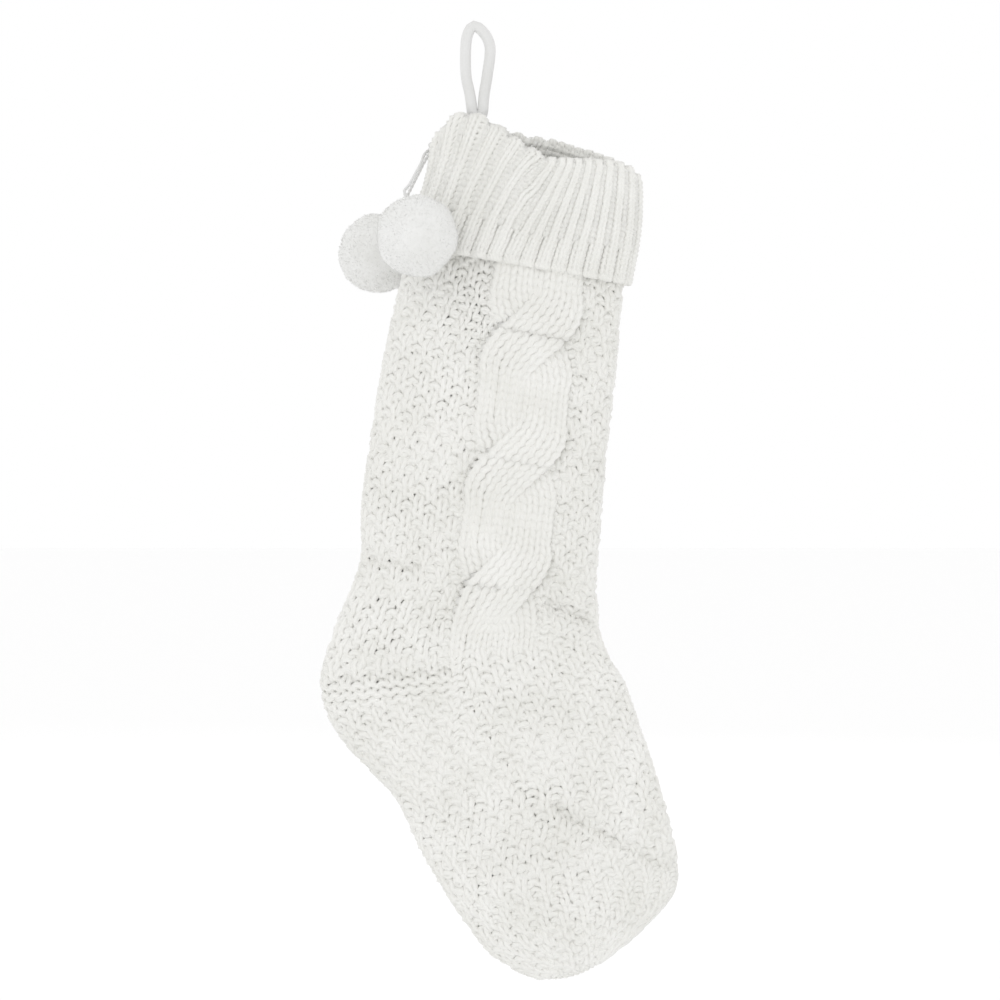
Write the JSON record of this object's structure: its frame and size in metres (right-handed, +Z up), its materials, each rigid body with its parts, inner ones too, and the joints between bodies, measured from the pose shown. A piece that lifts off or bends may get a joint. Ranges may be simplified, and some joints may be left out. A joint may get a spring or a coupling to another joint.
{
  "type": "hanging stocking",
  "caption": "Knitted Christmas stocking with a turned-down ribbed cuff, a cord hanging loop and pompoms on cords that swing beside the cuff.",
  "frame": {"origin": "inside of the hanging loop's top, where a hook carries it", "axes": "+Z up, +X from the heel side to the toe side, -Y out of the front"},
  "size_m": [0.1958, 0.1124, 0.5216],
  "materials": {
    "ivory_knit": "ivory chunky wool-blend knitting, moss stitch with a twisted cable, matt and slightly fuzzy",
    "rib_knit": "ivory ribbed knitting, matt and slightly fuzzy",
    "loop_cord": "soft white braided cord, matt",
    "pompom_cord": "thin twisted white cord, matt",
    "pompom_yarn": "cut white yarn, dense soft pile"
  },
  "bodies": {
    "loop": {"hanging_loop": "loop_cord"},
    "whipping": {"loop_whipping": "loop_cord"},
    "stocking": {"loop_tab": "loop_cord", "cuff": "rib_knit", "leg": "ivory_knit", "heel": "ivory_knit", "instep": "ivory_knit", "foot": "ivory_knit", "toe": "ivory_knit", "leg_seam": "ivory_knit", "toe_seam": "ivory_knit", "cord_knot": "pompom_cord"},
    "front_pompom": {"pompom_front": "pompom_yarn", "pompom_tie_front": "pompom_cord", "pompom_cord_front": "pompom_cord"},
    "rear_pompom": {"pompom_rear": "pompom_yarn", "pompom_tie_rear": "pompom_cord", "pompom_cord_rear": "pompom_cord"}
  },
  "joints": [
    {"name": "sway", "type": "hinge", "parent": "loop", "child": "whipping", "pos_m": [0.002, 0, -0.047], "axis": [0, 1, 0], "range_deg": [-30, 30]},
    {"name": "swing", "type": "hinge", "parent": "whipping", "child": "stocking", "pos_m": [0.002, 0, -0.047], "axis": [1, 0, 0], "range_deg": [-35, 35]},
    {"name": "front_pompom_lift", "type": "hinge", "parent": "stocking", "child": "front_pompom", "pos_m": [-0.022, 0.009, -0.062], "axis": [-1, 0, 0], "range_deg": [0, 70]},
    {"name": "rear_pompom_lift", "type": "hinge", "parent": "stocking", "child": "rear_pompom", "pos_m": [-0.022, 0.009, -0.062], "axis": [0, 1, 0], "range_deg": [0, 70]}
  ]
}
